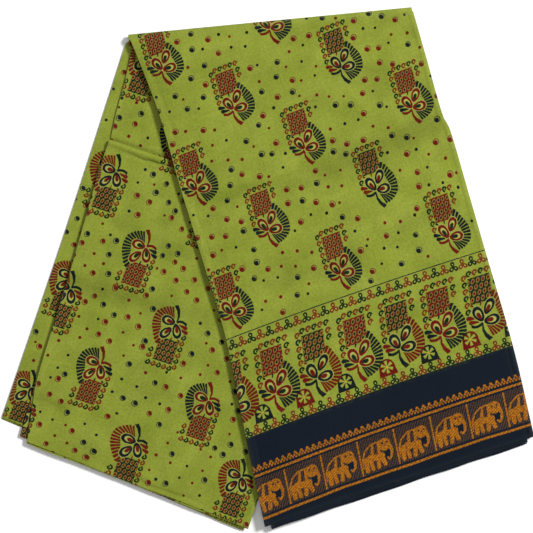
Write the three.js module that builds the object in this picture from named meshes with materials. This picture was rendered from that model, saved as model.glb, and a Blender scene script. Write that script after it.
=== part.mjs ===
// A cotton saree folded flat. The cloth is first folded lengthwise into one long strip of many plies,
// and the strip is then folded once across, so that two legs spread from the fold: the back leg lies
// on the surface, and the front leg lies over it and comes down to the surface beside it.
//
// Each stretch that shows is one leaf: a flat bundle of plies whose side edges are two stacked folds.
// Units are millimetres and degrees, +Z is up, and the leaves lie on the plane z = 0.

import * as THREE from "three";

// ---- Driving dimensions ----
const LEAF = 2.4; // thickness of one bundle of plies
const GAP = 0.3; // air between neighbouring pieces
const PITCH = LEAF + GAP;
const BACK_LEAVES_AT_FOLD = 2; // the back leg's third leaf, its flap, starts below the fold
const FRONT_LEAVES = 3;
const FOLD_HEIGHT = (BACK_LEAVES_AT_FOLD + FRONT_LEAVES) * PITCH - GAP;
const FOLD_RADIUS = FOLD_HEIGHT / 2;

const FRONT_TILT = 16; // the front leg leans to the right of straight down
const BACK_TILT = 18.3; // the back leg leans to the left
const FOLD_RISE = 62; // the fold's right end, down the front leg from its left end
const STRIP_WIDTH = 336; // along the front leg's own cross direction at the fold

const FLAP_TOP = 126.5; // where the back flap's folded top lies, down the back leg
const BACK_EDGE = 323; // the back leg's right edge at its farthest, across the leg
const BACK_HEM = 521; // the longest hem of the back leg

const LIP = 12; // how far the front leg stays level past what it lies on
const SIDE_SLOPE = 105; // it then comes down to the surface over this length
const FLAP_SLOPE = 80; // and to the back leg above the flap over this one

const FRONT_LOFT = 1.5; // trapped air under the top leaf of each leg
const BACK_LOFT = 0.9;
const LOFT_MARGIN = 48; // the air thins out towards the pressed edges
const HEM_LOFT = 0.35; // the share of the loft that is left at the hem

// ---- Tables ----
// Each row is one section of a leaf: where its left and right ends lie, down and across the leg.
// Before the first row comes the fold, which both legs share.
const FRONT_ROWS = [
  { at: "shoulder", leftDown: 95, leftAcross: 9, rightDown: 125, rightAcross: 336 },
  { at: "above the crease", leftDown: 190, leftAcross: 9.5, rightDown: 193, rightAcross: 336 },
  { at: "below the crease", leftDown: 222, leftAcross: 10, rightDown: 220, rightAcross: 340 },
  { at: "middle", leftDown: 305, leftAcross: 11.5, rightDown: 296, rightAcross: 340.5 },
  { at: "printed line", leftDown: 385, leftAcross: 12, rightDown: 368, rightAcross: 340.5 },
  { at: "border", leftDown: 506, leftAcross: 2.5, rightDown: 488, rightAcross: 341 },
  { at: "hem", leftDown: 611.5, leftAcross: -5, rightDown: 597.5, rightAcross: 335.5 },
];
const BORDER_ROW = 6; // counted from the fold

const BACK_LOWER_ROWS = [
  { at: "middle", leftDown: 240, leftAcross: 2, rightDown: 185, rightAcross: 313 },
  { at: "hem", leftDown: 485, leftAcross: 0, rightDown: 509, rightAcross: 314 },
];
const BACK_MIDDLE_ROWS = [
  { at: "neck", leftDown: 45.5, leftAcross: 12.5, rightDown: -80, rightAcross: 311 },
  { at: "above the flap", leftDown: 95, leftAcross: 15.5, rightDown: 0, rightAcross: 312 },
  { at: "under the flap", leftDown: 150, leftAcross: 20, rightDown: 80, rightAcross: 313 },
  { at: "middle", leftDown: 320, leftAcross: 23, rightDown: 290, rightAcross: 315 },
  { at: "hem", leftDown: 498, leftAcross: 27.5, rightDown: BACK_HEM, rightAcross: 318 },
];
const BACK_FLAP_ROWS = [
  { at: "folded top", leftDown: FLAP_TOP, leftAcross: 18, rightDown: FLAP_TOP + 2, rightAcross: 316 },
  { at: "shoulder", leftDown: 170, leftAcross: 18, rightDown: 180, rightAcross: 317 },
  { at: "middle", leftDown: 295, leftAcross: 23, rightDown: 300, rightAcross: 319 },
  { at: "lower", leftDown: 420, leftAcross: 25.5, rightDown: 425, rightAcross: 321 },
  { at: "corner", leftDown: 463, leftAcross: 31.5, rightDown: 475, rightAcross: 323 },
  { at: "hem", leftDown: 503, leftAcross: 38, rightDown: 517.5, rightAcross: 323 },
];

// The front leg's leaves, from the lowest up. The inset narrows a leaf, and longer lets its hem show.
// The lowest one holds the hidden plies and closes at the fold. The others turn over it.
const FRONT_LEAF_SIZES = [
  { panel: "front_core", border: null, leftInset: 4, rightInset: 5, longer: -3 },
  { panel: "front_under_panel", border: "front_under_border", leftInset: 7, rightInset: 9, longer: 5.5 },
  { panel: "front_panel", border: "front_border", leftInset: 0, rightInset: 0, longer: 0 },
];
const UNDER_LEAF = 1; // it turns down to the back leg's middle leaf

// Old creases press the loft flat along a line, given by its ends down and across the leg.
const FRONT_CREASES = [
  { fromAcross: 350, fromDown: 206, toAcross: 110, toDown: 224, halfWidth: 13, depth: 0.85 },
  { fromAcross: 190, fromDown: 330, toAcross: 60, toDown: 341, halfWidth: 12, depth: 0.4 },
];
const BACK_CREASES = [
  { fromAcross: 20, fromDown: 298, toAcross: 170, toDown: 293, halfWidth: 13, depth: 0.8 },
  { fromAcross: 30, fromDown: 452, toAcross: 80, toDown: 450, halfWidth: 14, depth: 0.6 },
];

// Mesh density.
const STEPS_PER_ROW = 4;
const FRONT_STEPS = 17; // across a leaf
const BACK_STEPS = 13;
const FOLD_STEPS = 6;
const ROUND_STEPS = [18, 45, 70]; // degrees round a folded end, which a straight section then follows
const LOBE_ANGLES = [-55, 0, 55]; // degrees round one fold of a side edge

const PRINT_GREEN = 0x909e34;
const BORDER_NAVY = 0x16202c;

// ---- The two legs' own directions ----
const radians = THREE.MathUtils.degToRad;

function legFrame(lean) {
  const angle = radians(lean);
  return {
    down: new THREE.Vector2(Math.sin(angle), -Math.cos(angle)),
    across: new THREE.Vector2(Math.cos(angle), Math.sin(angle)),
  };
}

const FRONT = legFrame(FRONT_TILT);
const BACK = legFrame(-BACK_TILT);

function place(leg, across, down) {
  return leg.across.clone().multiplyScalar(across).addScaledVector(leg.down, down);
}

// The fold's outer line starts at the apex, where x and y are 0, and INTO_LEGS points down from it.
const FOLD_END = place(FRONT, STRIP_WIDTH, FOLD_RISE);
const ALONG_FOLD = FOLD_END.clone().normalize();
const INTO_LEGS = new THREE.Vector2(ALONG_FOLD.y, -ALONG_FOLD.x);

// ---- Heights ----
function smoothStep(low, high, x) {
  return THREE.MathUtils.smoothstep(x, low, high);
}

function creaseAt(creases, across, down) {
  const kept = creases.map((c) => {
    const start = new THREE.Vector2(c.fromAcross, c.fromDown);
    const line = new THREE.Vector2(c.toAcross, c.toDown).sub(start);
    const share = new THREE.Vector2(across, down).sub(start).dot(line) / line.lengthSq();
    const off = new THREE.Vector2(across, down).sub(start).addScaledVector(line, -share).length();
    const along = smoothStep(-0.15, 0.1, share) * (1 - smoothStep(0.6, 1.1, share));
    return 1 - c.depth * along * Math.exp(-((off / c.halfWidth) ** 2));
  });
  return kept.reduce((all, one) => all * one, 1);
}

// How far trapped air lifts a leg, at a place given from its left edge and its top. The side edges
// and the top stay pressed, and the hem keeps a third of the loft.
function loftAt(height, fromLeft, fromTop, width, length) {
  const sides = smoothStep(0, LOFT_MARGIN, fromLeft) * smoothStep(0, LOFT_MARGIN, width - fromLeft);
  const top = smoothStep(0, LOFT_MARGIN, fromTop);
  const hem = HEM_LOFT + (1 - HEM_LOFT) * smoothStep(0, LOFT_MARGIN, length - fromTop);
  return height * sides * top * hem;
}

function backLoft(point) {
  const [across, down] = [point.dot(BACK.across), point.dot(BACK.down)];
  const loft = loftAt(BACK_LOFT, across, down - FLAP_TOP, BACK_EDGE, BACK_HEM - FLAP_TOP);
  return loft * creaseAt(BACK_CREASES, across, down);
}

function frontLoft(point) {
  const [across, down] = [point.dot(FRONT.across), point.dot(FRONT.down)];
  const slant = (FOLD_RISE * across) / STRIP_WIDTH;
  const length = FRONT_ROWS.at(-1).leftDown - slant;
  const loft = loftAt(FRONT_LOFT, across, down - slant, STRIP_WIDTH, length);
  return loft * creaseAt(FRONT_CREASES, across, down);
}

// The height of the back leg's top, and of the air that the front leg bridges beside it.
function bedHeight(point) {
  const [across, down] = [point.dot(BACK.across), point.dot(BACK.down)];
  const beside = 1 - smoothStep(BACK_EDGE + LIP, BACK_EDGE + LIP + SIDE_SLOPE, across);
  const overFlap = smoothStep(FLAP_TOP - LIP - FLAP_SLOPE, FLAP_TOP - LIP, down);
  return beside * (BACK_LEAVES_AT_FOLD * PITCH + overFlap * (PITCH + backLoft(point)));
}

// ---- Sections of a leaf ----
// A section is a straight line across a leaf, from its left edge to its right one. Its lift puts a
// point of that line at its height and gives the direction of the leaf's thickness there.
function atRest(heightAt) {
  return (flat) => ({
    middle: new THREE.Vector3(flat.x, flat.y, heightAt(flat)),
    normal: new THREE.Vector3(0, 0, 1),
  });
}

function evenShares(from, to, steps) {
  return Array.from({ length: steps + 1 }, (_, i) => from + ((to - from) * i) / steps);
}

// Moves a section along the surface.
function shifted(section, direction, distance) {
  return {
    ...section,
    left: section.left.clone().addScaledVector(direction, distance),
    right: section.right.clone().addScaledVector(direction, distance),
  };
}

// The section on the fold's outer line, drawn in at both ends by the leaf's insets.
function foldLine(leftInset, rightInset, lift) {
  return {
    left: ALONG_FOLD.clone().multiplyScalar(leftInset),
    right: FOLD_END.clone().addScaledVector(ALONG_FOLD, -rightInset),
    lift,
    fullness: 1,
  };
}

// The sections down a leg. Their ends run on smooth curves through the ends of the table's rows.
function legSections(leg, rows, first, shares) {
  const curve = (side) => {
    const ends = rows.map((row) => place(leg, row[side + "Across"], row[side + "Down"]));
    return new THREE.SplineCurve([first[side], ...ends]);
  };
  const [left, right] = [curve("left"), curve("right")];
  return shares.map((share) => ({
    left: left.getPoint(share),
    right: right.getPoint(share),
    lift: first.lift,
    fullness: 1,
  }));
}

// The half turn of a leaf at the fold, from the surface up to the front leg, at one radius.
function foldSections(start, radius) {
  return evenShares(-90, 90, FOLD_STEPS).map((angle) => {
    const [sine, cosine] = [Math.sin(radians(angle)), Math.cos(radians(angle))];
    const outward = new THREE.Vector3(-INTO_LEGS.x * cosine, -INTO_LEGS.y * cosine, sine);
    const lift = (flat) => ({
      middle: new THREE.Vector3(flat.x, flat.y, FOLD_RADIUS).addScaledVector(outward, radius),
      normal: outward,
    });
    return { ...start, lift };
  });
}

// A rounded end that closes a leaf. It stands out from its first section in one direction.
function roundedEnd(start, direction) {
  return ROUND_STEPS.map((angle) => {
    const section = shifted(start, direction, (LEAF / 2) * Math.cos(radians(angle)));
    return { ...section, fullness: Math.sin(radians(angle)) };
  });
}

// A leaf's cross-section, as insets from its left edge and half heights. Two folds lie stacked at
// each side edge.
function leafProfile(width, steps) {
  const lobe = LEAF / 4;
  const side = LOBE_ANGLES.map((angle) => ({
    inset: lobe - lobe * Math.cos(radians(angle)),
    half: lobe + lobe * Math.sin(radians(angle)),
  }));
  const flat = evenShares(lobe, width - lobe, steps).map((inset) => ({ inset, half: LEAF / 2 }));
  const far = side.map((p) => ({ inset: width - p.inset, half: p.half })).reverse();
  return [...side, ...flat, ...far];
}

// The closed outline of that cross-section: left to right over it, and back under it.
function leafOutline(width, steps) {
  const over = leafProfile(width, steps).map(({ inset, half }) => new THREE.Vector2(inset, half));
  const under = over.map((point) => new THREE.Vector2(point.x, -point.y));
  return [...over, ...under.reverse()];
}

function ringOf(section, steps) {
  const line = section.right.clone().sub(section.left);
  const width = line.length();
  return leafOutline(width, steps).map((point) => {
    const flat = section.left.clone().addScaledVector(line, point.x / width);
    const { middle, normal } = section.lift(flat);
    return middle.addScaledVector(normal, point.y * section.fullness);
  });
}

// Joins the sections into one closed solid, with a flat face at each end.
function leafGeometry(sections, steps) {
  const rings = sections.map((section) => ringOf(section, steps));
  const size = rings[0].length;
  const faces = [];
  const quad = (a, b, c, d) => faces.push(a, b, c, a, c, d);
  for (let i = 0; i + 1 < rings.length; i++) {
    for (let j = 0; j < size; j++) {
      const next = (j + 1) % size;
      quad(i * size + j, (i + 1) * size + j, (i + 1) * size + next, i * size + next);
    }
  }
  const last = (rings.length - 1) * size;
  for (const [a, b, c] of THREE.ShapeUtils.triangulateShape(leafOutline(STRIP_WIDTH, steps), [])) {
    faces.push(a, c, b, last + a, last + b, last + c);
  }
  const positions = rings.flat().flatMap((point) => [point.x, point.y, point.z]);
  const geometry = new THREE.BufferGeometry();
  geometry.setAttribute("position", new THREE.Float32BufferAttribute(positions, 3));
  geometry.setIndex(faces);
  return geometry;
}

// ---- The pieces ----
const root = new THREE.Group();

function addLeaf(name, sections, steps, color) {
  const material = new THREE.MeshStandardMaterial({ color, roughness: 0.85, metalness: 0 });
  const mesh = new THREE.Mesh(leafGeometry(sections, steps), material);
  mesh.name = name;
  root.add(mesh);
}

// A leaf of the front leg, level 0 being the lowest: its green stretch with its turn at the fold, and
// past the seam line its navy border down to the hem. A leaf with no border is green to the hem.
function addFrontLeaf(sizes, level) {
  const lift = atRest((flat) => {
    const raised = (frontLoft(flat) * (level + 1)) / FRONT_LEAVES;
    return bedHeight(flat) + level * PITCH + LEAF / 2 + raised;
  });
  const rows = FRONT_ROWS.map((row) => {
    const longer = row === FRONT_ROWS.at(-1) ? sizes.longer : 0;
    return {
      leftAcross: row.leftAcross + sizes.leftInset,
      rightAcross: row.rightAcross - sizes.rightInset,
      leftDown: row.leftDown + longer,
      rightDown: row.rightDown + longer,
    };
  });
  const foldEdge = foldLine(sizes.leftInset, sizes.rightInset, lift);
  const start = shifted(foldEdge, INTO_LEGS, FOLD_RADIUS);
  const firstShare = 0.6 / STEPS_PER_ROW / rows.length; // just past the turn at the fold
  const stretch = (from, to, steps) => legSections(FRONT, rows, foldEdge, evenShares(from, to, steps));
  if (!sizes.border) {
    const end = roundedEnd(start, INTO_LEGS.clone().negate());
    const leg = stretch(firstShare, 1, rows.length * STEPS_PER_ROW);
    addLeaf(sizes.panel, [...end, ...leg], FRONT_STEPS, PRINT_GREEN);
    return;
  }
  const turn = foldSections(start, FOLD_RADIUS - LEAF / 2 - (FRONT_LEAVES - 1 - level) * PITCH);
  const seam = BORDER_ROW / rows.length;
  const panel = stretch(firstShare, seam, BORDER_ROW * STEPS_PER_ROW);
  const border = stretch(seam, 1, (rows.length - BORDER_ROW) * STEPS_PER_ROW);
  const panelEnd = shifted(panel.at(-1), FRONT.down, -GAP / 2);
  const borderTop = shifted(border[0], FRONT.down, GAP / 2);
  addLeaf(sizes.panel, [...turn, ...panel.slice(0, -1), panelEnd], FRONT_STEPS, PRINT_GREEN);
  addLeaf(sizes.border, [borderTop, ...border.slice(1)], FRONT_STEPS, BORDER_NAVY);
}

// A leaf of the back leg that runs up to the fold and meets the turn of a front leaf there.
function addBackLeaf(name, level, rows, insets) {
  const lift = atRest(() => level * PITCH + LEAF / 2);
  const foldEdge = foldLine(insets.leftInset, insets.rightInset, lift);
  const start = shifted(foldEdge, INTO_LEGS, FOLD_RADIUS + GAP);
  const shares = evenShares(0, 1, rows.length * STEPS_PER_ROW).slice(1);
  addLeaf(name, [start, ...legSections(BACK, rows, foldEdge, shares)], BACK_STEPS, PRINT_GREEN);
}

// The back leg's top leaf. Its upper end is a fold of its own, and lies free.
function addFlap(name, rows) {
  const lift = atRest((flat) => BACK_LEAVES_AT_FOLD * PITCH + LEAF / 2 + backLoft(flat));
  const [top, ...rest] = rows;
  const topLine = {
    left: place(BACK, top.leftAcross, top.leftDown + LEAF / 2),
    right: place(BACK, top.rightAcross, top.rightDown + LEAF / 2),
    lift,
    fullness: 1,
  };
  const turn = roundedEnd(topLine, BACK.down.clone().negate());
  const shares = evenShares(0, 1, rest.length * STEPS_PER_ROW);
  addLeaf(name, [...turn, ...legSections(BACK, rest, topLine, shares)], BACK_STEPS, PRINT_GREEN);
}

const [topLeaf, underLeaf] = [FRONT_LEAF_SIZES.at(-1), FRONT_LEAF_SIZES[UNDER_LEAF]];
addBackLeaf("back_lower", 0, BACK_LOWER_ROWS, topLeaf);
addBackLeaf("back_middle", 1, BACK_MIDDLE_ROWS, underLeaf);
addFlap("back_flap", BACK_FLAP_ROWS);
FRONT_LEAF_SIZES.forEach(addFrontLeaf);

// The origin is under the middle of the whole part, on the surface that it lies on.
const box = new THREE.Box3().setFromObject(root);
const middle = box.getCenter(new THREE.Vector3());
root.position.set(-middle.x, -middle.y, -box.min.z);

export default root;
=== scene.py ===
import math

import bpy
import numpy as np
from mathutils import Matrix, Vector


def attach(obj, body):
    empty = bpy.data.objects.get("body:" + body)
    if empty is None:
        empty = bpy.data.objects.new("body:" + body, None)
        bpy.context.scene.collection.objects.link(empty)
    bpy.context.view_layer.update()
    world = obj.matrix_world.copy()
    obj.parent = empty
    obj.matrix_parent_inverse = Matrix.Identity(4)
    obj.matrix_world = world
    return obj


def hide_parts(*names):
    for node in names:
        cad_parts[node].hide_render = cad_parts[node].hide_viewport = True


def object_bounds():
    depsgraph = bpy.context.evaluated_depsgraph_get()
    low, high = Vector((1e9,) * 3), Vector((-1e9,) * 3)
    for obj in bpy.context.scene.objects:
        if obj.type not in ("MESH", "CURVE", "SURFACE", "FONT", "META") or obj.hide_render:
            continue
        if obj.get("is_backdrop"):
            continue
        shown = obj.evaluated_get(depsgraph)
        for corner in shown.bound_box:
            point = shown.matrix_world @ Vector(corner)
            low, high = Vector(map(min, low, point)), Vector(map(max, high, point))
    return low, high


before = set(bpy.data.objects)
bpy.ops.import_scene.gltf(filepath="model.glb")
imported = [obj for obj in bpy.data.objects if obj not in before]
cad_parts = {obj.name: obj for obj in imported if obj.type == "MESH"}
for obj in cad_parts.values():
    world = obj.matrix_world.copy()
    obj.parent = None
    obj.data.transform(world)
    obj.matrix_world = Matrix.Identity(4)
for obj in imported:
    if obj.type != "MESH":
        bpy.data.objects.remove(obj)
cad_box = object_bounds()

# ---- The back leg's lowest leaf ----
# A saree is one long cotton cloth, folded lengthwise into a strip of sixteen plies, and the strip is
# folded once across into two legs. Each leaf is a bundle of plies whose side edges are two stacked
# folds. This leaf lies on the surface and runs up to the cross fold.

# Lengths are in millimetres and become metres in the meshes. A place is given across and down a leg
# from the apex, which is the left end of the cross fold.
METRES = 0.001
APEX = np.array([-167.455, 280.771])
LEAF, GAP, PLY = 2.4, 0.3, 0.26  # a leaf's thickness, the gap between leaves, and a ply's thickness
PITCH = LEAF + GAP
LOBE = 0.59  # half the height of one flattened tube of plies
LOBE_LEVELS = (LEAF / 4, LEAF * 3 / 4)
FOLD_RADIUS = (5 * PITCH - GAP) / 2  # this is also how high the cross fold's middle lies
HEM_FROM = 0.9  # the share of a leaf's length after which its plies run to their own ends
STRIP_WIDTH, FOLD_RISE = 336, 62
FLAP_TOP, BACK_EDGE, BACK_HEM = 126.5, 323, 521
WEAR_REACH = 3.5  # how far wear spreads from a fold or a hem


def leg_directions(lean):
    """The directions across a leg and down it, for a leg that leans to the right by so many degrees."""
    turn = math.radians(lean)
    return np.array([math.cos(turn), math.sin(turn)]), np.array([math.sin(turn), -math.cos(turn)])


FRONT = leg_directions(16)
BACK = leg_directions(-18.3)
FOLD_END = FRONT[0] * STRIP_WIDTH + FRONT[1] * FOLD_RISE
ALONG_FOLD = FOLD_END / np.linalg.norm(FOLD_END)
INTO_LEGS = np.array([ALONG_FOLD[1], -ALONG_FOLD[0]])


def smooth(low, high, x):
    t = np.clip((x - low) / (high - low), 0, 1)
    return t * t * (3 - 2 * t)


def bell(away, width):
    """A smooth hump: 1 at its middle, and about a third at its width away."""
    return np.exp(-((away / width) ** 2))


def wander(x, *waves):
    """A slow uneven wave along x: a sum of sines, each given as height, length and start."""
    return sum(height * np.sin(2 * math.pi * (x / length + start)) for height, length, start in waves)


def smooth_line(points):
    """A smooth curve through points, as a function of the share of the way along it."""
    points = np.array(points, float)
    held = np.vstack([points[:1], points, points[-1:]])

    def at(share):
        place = np.clip(share, 0, 1) * (len(points) - 1)
        i = np.minimum(place.astype(int), len(points) - 2)
        t = (place - i)[:, None]
        before, a, b, after = held[i], held[i + 1], held[i + 2], held[i + 3]
        va, vb = (b - before) / 2, (after - a) / 2
        return (2 * a - 2 * b + va + vb) * t**3 + (3 * b - 3 * a - 2 * va - vb) * t**2 + va * t + a

    return at


def edge_lines(leg, rows, first, inset=(0, 0), longer=0):
    """A leaf's left and right edges. A row gives the two edges' places, down and across the leg."""
    lines = []
    for side, inward in ((0, 1), (1, -1)):
        ends = [leg[1] * row[side][0] + leg[0] * (row[side][1] + inward * inset[side]) for row in rows]
        ends[-1] = ends[-1] + leg[1] * longer
        lines.append(smooth_line([first[side], *ends]))
    return lines


def fold_line(inset=(0, 0)):
    return ALONG_FOLD * inset[0], FOLD_END - ALONG_FOLD * inset[1]


def lobe_ring(width, over_step, under_step):
    """The ring of one flattened tube of plies. It starts under the middle, goes left, over and back.
    Columns: share across, mm out from there, height, side (0 left, 1 right), mirrored, mm unrolled."""
    half = np.linspace(0.5, 0, max(2, round(width / 2 / under_step)) + 1)
    over = np.linspace(0, 1, max(2, round(width / over_step)) + 1)
    over = over - 0.6 * np.sin(2 * math.pi * over) / (2 * math.pi)  # closer together near the sides
    bend = np.radians([-60, -30, 0, 30, 60])
    flat = math.pi * LOBE
    rows = [(s, 0, -LOBE, 0, -1, -flat) for s in half]
    rows += [(0, -LOBE * math.cos(b), LOBE * math.sin(b), 0, 1, -LOBE * (math.pi / 2 - b)) for b in bend]
    rows += [(s, 0, LOBE, 0, 1, 0) for s in over]
    rows += [(1, LOBE * math.cos(b), LOBE * math.sin(b), 1, 1, LOBE * (math.pi / 2 - b)) for b in -bend]
    rows += [(1 - s, 0, -LOBE, 1, -1, flat) for s in half[::-1]]
    return np.array(rows).T


def loose_ring(width, step):
    """The same columns for a loose ply that lies inside a tube of plies."""
    share = np.linspace(0.01, 0.99, max(2, round(width / step)) + 1)
    rest = np.zeros_like(share)
    return np.array([share, rest, rest + PLY / 2, rest, rest + 1, rest])


def in_scene(name, data):
    made = bpy.data.objects.new(name, data)
    bpy.context.scene.collection.objects.link(made)
    return made


class Cloth:
    """One piece of folded cloth, gathered ply by ply, with each corner's place on the flat cloth."""

    def __init__(self, leg, print_at):
        self.leg, self.print_at = leg, print_at
        self.points, self.faces, self.flat, self.worn, self.count = [], [], [], [], 0

    def add(self, left, right, ring, place, unrolled, worn, closed):
        """One ply or tube, a row for each section and a column for each place round it. place(flat,
        height, from_side) gives the points, and unrolled(flat) their places on the leg when opened."""
        share, out, height, side, mirrored, extra = ring
        width = np.linalg.norm(right - left, axis=1)
        along = (right - left) / width[:, None]
        near, far = left + along * LOBE, right - along * LOBE
        flat = near[:, None] + (far - near)[:, None] * share[:, None] + along[:, None] * out[:, None]
        from_side = np.minimum(share, 1 - share) * width[:, None]
        points = place(flat, height, from_side)
        opened = unrolled(flat)
        edges = [unrolled(edge[:, None]) @ self.leg[0] for edge in (near, far)]
        edge = np.where(side == 1, edges[1], edges[0])
        across = opened @ self.leg[0]
        across = np.where(out != 0, edge, edge + mirrored * (across - edge)) + extra
        own = self.print_at(across, opened @ self.leg[1])
        last = -1 if closed else None
        rows, columns = points.shape[0], points[:, :last].shape[1]
        index = self.count + np.arange(rows * columns).reshape(rows, columns)
        index = np.hstack([index, index[:, :1]]) if closed else index
        corner = lambda grid: np.stack([grid[:-1, :-1], grid[1:, :-1], grid[1:, 1:], grid[:-1, 1:]], axis=2)
        self.points.append(points[:, :last].reshape(-1, 3))
        self.worn.append(np.broadcast_to(worn(flat, from_side), points.shape[:2])[:, :last].reshape(-1))
        self.faces.append(corner(index).reshape(-1, 4))
        self.flat.append(corner(own).reshape(-1, 2))
        self.count += rows * columns

    def piece(self, name, material, slot, node, flat_size, rests_on):
        """The finished sheet: its mesh given the cloth's thickness, attached to the root body, with its CAD
        part hidden.
        """
        mesh = bpy.data.meshes.new(name)
        points = np.vstack(self.points)
        points[:, :2] += APEX
        mesh.from_pydata((points * METRES).tolist(), [], np.vstack(self.faces).tolist())
        flat = np.vstack(self.flat) * METRES
        mesh.uv_layers.new(name="cloth").data.foreach_set("uv", flat.astype(np.float32).ravel())
        # Each corner's wear, and below nothing how much shade is painted into its colour.
        worn = mesh.attributes.new("worn", "FLOAT", "POINT")
        worn.data.foreach_set("value", np.concatenate(self.worn).astype(np.float32))
        sheet = in_scene(name, mesh)
        bpy.ops.object.select_all(action="DESELECT")
        sheet.select_set(True)
        bpy.context.view_layer.objects.active = sheet
        wall = sheet.modifiers.new("ply", "SOLIDIFY")
        wall.thickness, wall.offset = PLY * METRES, -1
        bpy.ops.object.modifier_apply(modifier="ply")
        bpy.ops.object.shade_smooth_by_angle(angle=math.radians(50))
        sheet.data.materials.append(material)
        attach(sheet, "root")
        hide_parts(node)


def worn_near(*lines):
    """How worn the cloth is: most on its side folds, and on lines given by distance and strength."""
    def at(flat, from_side):
        kept = 1 - bell(from_side, WEAR_REACH)
        for away_from, strength in lines:
            kept = kept * (1 - strength * bell(away_from(flat), WEAR_REACH))
        return 1 - kept
    return at


def leaf_height(under, over):
    """Puts a place at its height between a leaf's underside and its top."""
    def at(flat, height, from_side):
        low, high = under(flat), over(flat, from_side)
        z = low + (high - low) * np.broadcast_to(height, flat.shape[:2]) / LEAF
        return np.concatenate([flat, z[..., None]], axis=-1)
    return at


def two_tubes(cloth, lines, shares, place, worn, steps, ragged, hem, inset=None, turns=(), radius=0):
    """The two stacked tubes of a leaf. turns are the angles of its sections at the cross fold, from -90
    at the back leg's seam up to 90 where it lies on the front leg, and radius is its middle's there.
    ragged gives the side edges an uneven run, and hem ends each ply at a length of its own."""
    turn = np.radians(np.concatenate([np.asarray(turns, float), np.full(len(shares), 90)]))
    on_leg = (turn > math.radians(89.9))[:, None, None]
    for level, middle in enumerate(LOBE_LEVELS):
        left, right = [np.vstack([np.tile(end + INTO_LEGS * FOLD_RADIUS, (len(turns), 1)), line(shares)])
                       for end, line in zip(fold_line(inset or (0, 0)), lines)]
        width = np.linalg.norm(right - left, axis=1)
        along = (right - left) / width[:, None]
        down = left @ cloth.leg[1]
        settled = smooth(12, 50, down)
        left = left + along * (ragged(down, level, 0) * settled)[:, None]
        right = right - along * (ragged(down, level, 1) * settled)[:, None]
        at_end = np.concatenate([np.zeros(len(turns)), smooth(HEM_FROM, 1, shares)])
        end = at_end[:, None, None] * cloth.leg[1]

        def lie(flat, height, from_side, middle=middle, level=level, end=end):
            longer = hem(flat @ cloth.leg[0], level, height)
            reach = radius + middle - LEAF / 2 + height
            turned = flat - INTO_LEGS * (reach * np.cos(turn)[:, None])[..., None]
            raised = FOLD_RADIUS + reach * np.sin(turn)[:, None]
            round_it = np.concatenate([turned, raised[..., None]], axis=-1)
            laid = place(flat + end * longer[..., None], middle + height, from_side)
            return np.where(on_leg, laid, round_it)

        def unrolled(flat, middle=middle):
            arc = (radius + middle - LEAF / 2 + LOBE) * (math.pi / 2 - turn)
            return flat - INTO_LEGS * arc[:, None, None]

        ring = lobe_ring(STRIP_WIDTH, steps[level], steps[2])
        cloth.add(left, right, ring, lie, unrolled, worn, closed=True)
        cloth.add(left, right, loose_ring(STRIP_WIDTH, steps[2]), lie, unrolled, worn, closed=False)


def plain_hem(seed):
    """Each ply ends at a slightly different length, and no hem is quite straight."""
    def at(across, level, height):
        wave = wander(across, (0.5, 173, 0.3 * seed + 0.4 * level), (0.25, 61, 0.7 * seed))
        return wave + 0.7 * (1 - level) - 0.5 * np.sign(height)
    return at


def uneven(seed, furthest):
    """How far each tube's side edge is drawn in, along the leg."""
    def at(down, level, side):
        start = 0.37 * seed + 0.21 * level + 0.53 * side
        return furthest * (0.5 + wander(down, (0.3, 211, start), (0.15, 83, 2 * start))) * (1 - level)
    return at


BACK_WEFT = 69 / 66.6  # the back leg's cloth lies a little narrower than the front leg's
BACK_PRINT_START = (-9, -9.9)
SQUARE_AT, SQUARE_FROM, SQUARE_PAST = 304, 95, 165  # where the print is square: down, and across


def back_print(slip_across, slip_down, squeezed=1, skewed=0):
    """The cloth turns over the cross fold, so its print runs the other way on the back leg. It can be
    squeezed down the leg, and skewed at its left, where the cloth lies a little out of square."""
    def at(across, down):
        skew = skewed * (SQUARE_AT - down) * (1 - smooth(SQUARE_FROM, SQUARE_PAST, across))
        x = BACK_PRINT_START[0] - BACK_WEFT * (across - slip_across - skew)
        y = BACK_PRINT_START[1] - (down - slip_down) * squeezed
        return np.stack([x, y], axis=-1)
    return at


def sections(*runs):
    """A leaf's sections down its length, in runs, each given as its start, end and count."""
    return np.concatenate([np.linspace(*run) for run in runs])


def flat_level(height):
    return lambda flat, from_side=None: np.full(flat.shape[:2], float(height))


# The print is worked out from each place on the flat cloth. Shapes are distances in millimetres from
# their outlines, less than nothing inside, and the nodes below are made by plain arithmetic on them.
def sign(operation, swapped=False):
    """What a sign such as + or < does between two readings: it makes a node for the operation."""
    return lambda a, b: number(operation, b, a) if swapped else number(operation, a, b)


class Reading:
    """A number or a place on the cloth, read from a node, whose arithmetic makes further nodes."""

    def __init__(self, tree, socket):
        self.tree, self.socket = tree, socket

    def __neg__(self):
        return self * -1

    __add__ = __radd__ = sign("ADD")
    __sub__, __rsub__ = sign("SUBTRACT"), sign("SUBTRACT", swapped=True)
    __mul__ = __rmul__ = sign("MULTIPLY")
    __truediv__, __mod__ = sign("DIVIDE"), sign("FLOORED_MODULO")
    __lt__, __gt__ = sign("LESS_THAN"), sign("GREATER_THAN")


def node_from(kind, operation, values, output=0, clamp=False):
    tree = next(value.tree for value in values if isinstance(value, Reading))
    node = tree.nodes.new(kind)
    node.operation = operation
    if clamp:
        node.use_clamp = True
    for socket, value in zip(node.inputs, values):
        if isinstance(value, Reading):
            tree.links.new(value.socket, socket)
        else:
            socket.default_value = value
    return Reading(tree, node.outputs[output])


def give(node, values):
    """Sets a node's inputs by their names."""
    for name, value in values.items():
        node.inputs[name].default_value = value


def number(operation, *values, clamp=False):
    return node_from("ShaderNodeMath", operation, values, clamp=clamp)


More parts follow.
